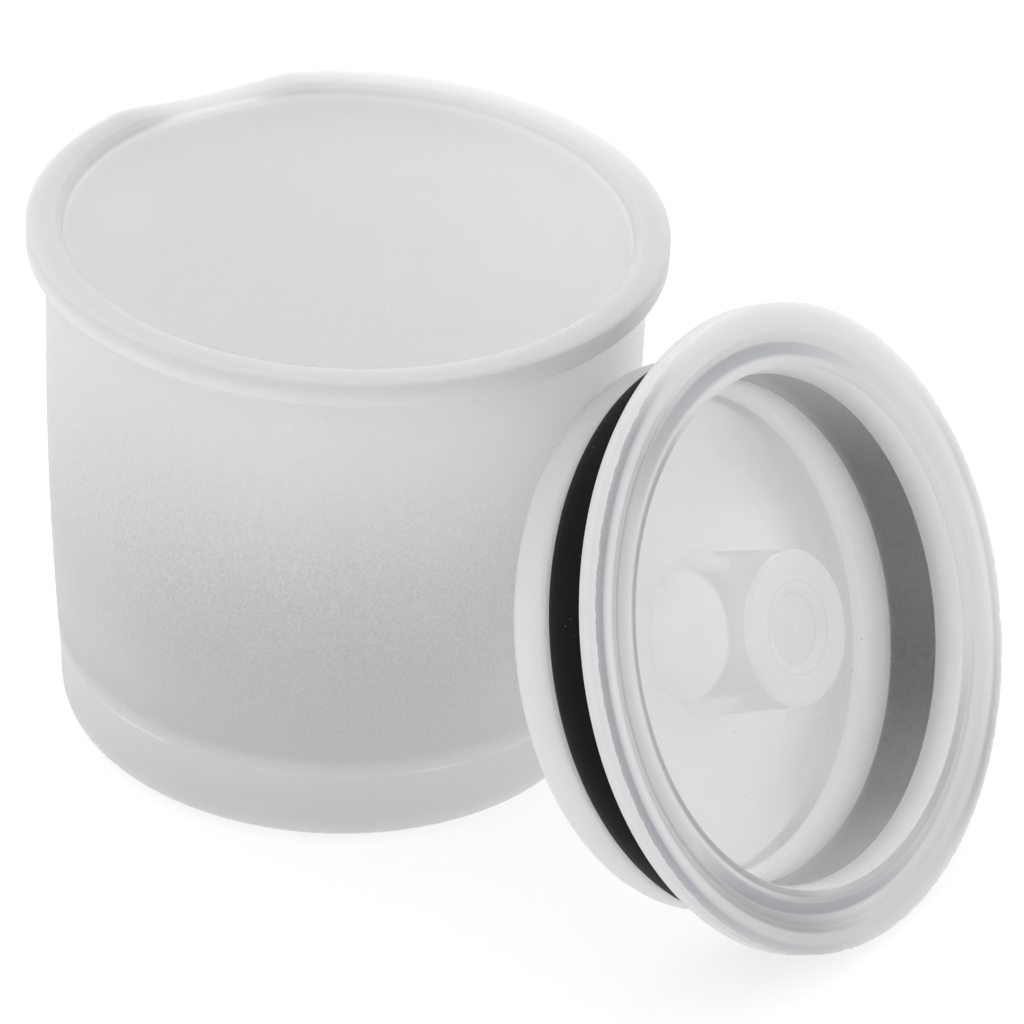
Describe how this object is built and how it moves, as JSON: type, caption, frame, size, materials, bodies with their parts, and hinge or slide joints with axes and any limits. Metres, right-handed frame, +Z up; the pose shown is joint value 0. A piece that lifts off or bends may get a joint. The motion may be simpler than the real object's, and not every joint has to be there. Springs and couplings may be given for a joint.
{
  "type": "paw washer cup",
  "caption": "Frosted straight-sided plastic cup with a collared mouth, and its dished plug lid with a black rubber seal ring, taken off and leaning beside it.",
  "frame": {"origin": "on the cup's axis, in the plane of its flat underside", "axes": "+Z up along the cup's axis; the lid leans on the cup from the +X, -Y side, its face turned away from the cup"},
  "size_m": [0.131, 0.1175, 0.0775],
  "materials": {
    "cup_plastic": "frosted natural polypropylene with a fine spark-eroded grain on the wall and a smooth collar",
    "lid_plastic": "smooth translucent natural polypropylene, semi-gloss",
    "seal_rubber": "matt black moulded rubber"
  },
  "bodies": {
    "cup": {"cup": "cup_plastic"},
    "lid": {"plug_lid": "lid_plastic", "seal_ring": "seal_rubber"}
  },
  "joints": [
    {"name": "lid_slide", "type": "slide", "parent": "cup", "child": "lid", "axis": [0.7492, -0.5034, 0.4305], "range_m": [0, 0.1]}
  ]
}
